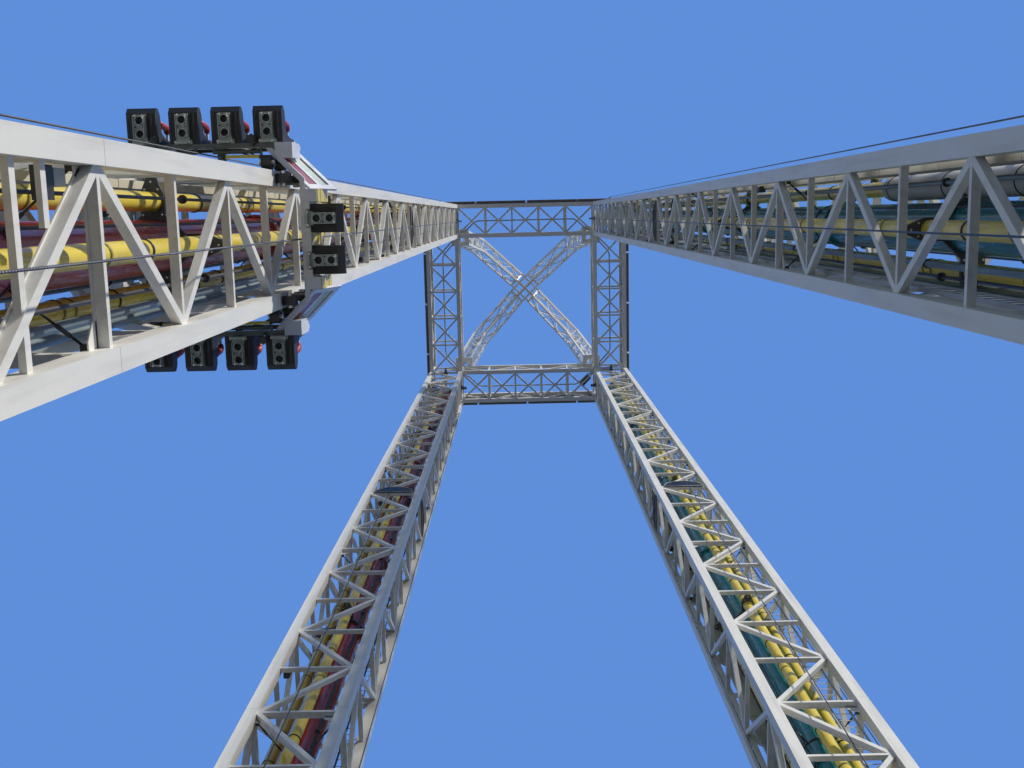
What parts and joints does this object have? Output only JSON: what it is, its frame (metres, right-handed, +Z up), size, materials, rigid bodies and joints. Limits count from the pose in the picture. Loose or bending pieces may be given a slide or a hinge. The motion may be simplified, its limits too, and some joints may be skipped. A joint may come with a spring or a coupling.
{
  "type": "drop tower ride, 1:10 scale model",
  "caption": "Four-tower drop ride: square lattice towers tied by a ring of box beams under a crossed peak, with a sliding seat car round each tower and hinged restraints.",
  "frame": {"origin": "on the ground, at the centre of the four towers", "axes": "+X to the right and +Y away from the viewer, seen from the front; +Z up"},
  "size_m": [1.539, 1.537, 9.0222],
  "materials": {
    "tower_white": "satin",
    "foot_grey": "satin",
    "yellow_paint": "satin",
    "red_paint": "satin",
    "teal_paint": "satin",
    "dark_steel": "satin",
    "cable_steel": "satin",
    "panel_black": "gloss",
    "board_black": "satin",
    "car_white": "satin",
    "seat_black": "satin",
    "bracket_grey": "satin",
    "restraint_red": "satin"
  },
  "bodies": {
    "structure": {"tower_posts": "tower_white", "foot_plates": "foot_grey", "launch_cylinders": "yellow_paint", "red_air_receivers": "red_paint", "teal_air_receivers": "teal_paint", "clamp_plates": "dark_steel", "haul_cables": "cable_steel", "cable_sheaves": "dark_steel", "status_panels": "panel_black", "ring_beams": "tower_white", "sign_boards": "board_black", "peak_arms": "tower_white", "peak_hub": "tower_white", "front_left_bracing": "tower_white", "front_right_bracing": "tower_white", "back_left_bracing": "tower_white", "back_right_bracing": "tower_white"},
    "front_left_car": {"front_left_car_frame": "car_white", "front_left_seats": "seat_black", "front_left_seat_brackets": "bracket_grey"},
    "front_left_front_restraint_bar": {"front_left_front_restraints": "restraint_red"},
    "front_left_back_restraint_bar": {"front_left_back_restraints": "restraint_red"},
    "front_left_left_restraint_bar": {"front_left_left_restraints": "restraint_red"},
    "front_left_right_restraint_bar": {"front_left_right_restraints": "restraint_red"},
    "front_right_car": {"front_right_car_frame": "car_white", "front_right_seats": "seat_black", "front_right_seat_brackets": "bracket_grey"},
    "front_right_front_restraint_bar": {"front_right_front_restraints": "restraint_red"},
    "front_right_back_restraint_bar": {"front_right_back_restraints": "restraint_red"},
    "front_right_left_restraint_bar": {"front_right_left_restraints": "restraint_red"},
    "front_right_right_restraint_bar": {"front_right_right_restraints": "restraint_red"},
    "back_left_car": {"back_left_car_frame": "car_white", "back_left_seats": "seat_black", "back_left_seat_brackets": "bracket_grey"},
    "back_left_front_restraint_bar": {"back_left_front_restraints": "restraint_red"},
    "back_left_back_restraint_bar": {"back_left_back_restraints": "restraint_red"},
    "back_left_left_restraint_bar": {"back_left_left_restraints": "restraint_red"},
    "back_left_right_restraint_bar": {"back_left_right_restraints": "restraint_red"},
    "back_right_car": {"back_right_car_frame": "car_white", "back_right_seats": "seat_black", "back_right_seat_brackets": "bracket_grey"},
    "back_right_front_restraint_bar": {"back_right_front_restraints": "restraint_red"},
    "back_right_back_restraint_bar": {"back_right_back_restraints": "restraint_red"},
    "back_right_left_restraint_bar": {"back_right_left_restraints": "restraint_red"},
    "back_right_right_restraint_bar": {"back_right_right_restraints": "restraint_red"}
  },
  "joints": [
    {"name": "front_left_car_travel", "type": "slide", "parent": "structure", "child": "front_left_car", "axis": [0, 0, 1], "range_m": [-1.83, 5.21]},
    {"name": "front_left_front_restraint_hinge", "type": "hinge", "parent": "front_left_car", "child": "front_left_front_restraint_bar", "pos_m": [-0.5565, -0.715, 1.988], "axis": [-1, 0, 0], "range_deg": [0, 70]},
    {"name": "front_left_back_restraint_hinge", "type": "hinge", "parent": "front_left_car", "child": "front_left_back_restraint_bar", "pos_m": [-0.5565, -0.398, 1.988], "axis": [1, 0, 0], "range_deg": [0, 70]},
    {"name": "front_left_left_restraint_hinge", "type": "hinge", "parent": "front_left_car", "child": "front_left_left_restraint_bar", "pos_m": [-0.716, -0.5565, 1.988], "axis": [0, 1, 0], "range_deg": [0, 70]},
    {"name": "front_left_right_restraint_hinge", "type": "hinge", "parent": "front_left_car", "child": "front_left_right_restraint_bar", "pos_m": [-0.397, -0.5565, 1.988], "axis": [0, -1, 0], "range_deg": [0, 70]},
    {"name": "front_right_car_travel", "type": "slide", "parent": "structure", "child": "front_right_car", "axis": [0, 0, 1], "range_m": [0, 7.04]},
    {"name": "front_right_front_restraint_hinge", "type": "hinge", "parent": "front_right_car", "child": "front_right_front_restraint_bar", "pos_m": [0.5565, -0.715, 0.158], "axis": [-1, 0, 0], "range_deg": [0, 70]},
    {"name": "front_right_back_restraint_hinge", "type": "hinge", "parent": "front_right_car", "child": "front_right_back_restraint_bar", "pos_m": [0.5565, -0.398, 0.158], "axis": [1, 0, 0], "range_deg": [0, 70]},
    {"name": "front_right_left_restraint_hinge", "type": "hinge", "parent": "front_right_car", "child": "front_right_left_restraint_bar", "pos_m": [0.397, -0.5565, 0.158], "axis": [0, 1, 0], "range_deg": [0, 70]},
    {"name": "front_right_right_restraint_hinge", "type": "hinge", "parent": "front_right_car", "child": "front_right_right_restraint_bar", "pos_m": [0.716, -0.5565, 0.158], "axis": [0, -1, 0], "range_deg": [0, 70]},
    {"name": "back_left_car_travel", "type": "slide", "parent": "structure", "child": "back_left_car", "axis": [0, 0, 1], "range_m": [0, 7.04]},
    {"name": "back_left_front_restraint_hinge", "type": "hinge", "parent": "back_left_car", "child": "back_left_front_restraint_bar", "pos_m": [-0.5565, 0.398, 0.158], "axis": [-1, 0, 0], "range_deg": [0, 70]},
    {"name": "back_left_back_restraint_hinge", "type": "hinge", "parent": "back_left_car", "child": "back_left_back_restraint_bar", "pos_m": [-0.5565, 0.715, 0.158], "axis": [1, 0, 0], "range_deg": [0, 70]},
    {"name": "back_left_left_restraint_hinge", "type": "hinge", "parent": "back_left_car", "child": "back_left_left_restraint_bar", "pos_m": [-0.716, 0.5565, 0.158], "axis": [0, 1, 0], "range_deg": [0, 70]},
    {"name": "back_left_right_restraint_hinge", "type": "hinge", "parent": "back_left_car", "child": "back_left_right_restraint_bar", "pos_m": [-0.397, 0.5565, 0.158], "axis": [0, -1, 0], "range_deg": [0, 70]},
    {"name": "back_right_car_travel", "type": "slide", "parent": "structure", "child": "back_right_car", "axis": [0, 0, 1], "range_m": [0, 7.04]},
    {"name": "back_right_front_restraint_hinge", "type": "hinge", "parent": "back_right_car", "child": "back_right_front_restraint_bar", "pos_m": [0.5565, 0.398, 0.158], "axis": [-1, 0, 0], "range_deg": [0, 70]},
    {"name": "back_right_back_restraint_hinge", "type": "hinge", "parent": "back_right_car", "child": "back_right_back_restraint_bar", "pos_m": [0.5565, 0.715, 0.158], "axis": [1, 0, 0], "range_deg": [0, 70]},
    {"name": "back_right_left_restraint_hinge", "type": "hinge", "parent": "back_right_car", "child": "back_right_left_restraint_bar", "pos_m": [0.397, 0.5565, 0.158], "axis": [0, 1, 0], "range_deg": [0, 70]},
    {"name": "back_right_right_restraint_hinge", "type": "hinge", "parent": "back_right_car", "child": "back_right_right_restraint_bar", "pos_m": [0.716, 0.5565, 0.158], "axis": [0, -1, 0], "range_deg": [0, 70]}
  ]
}
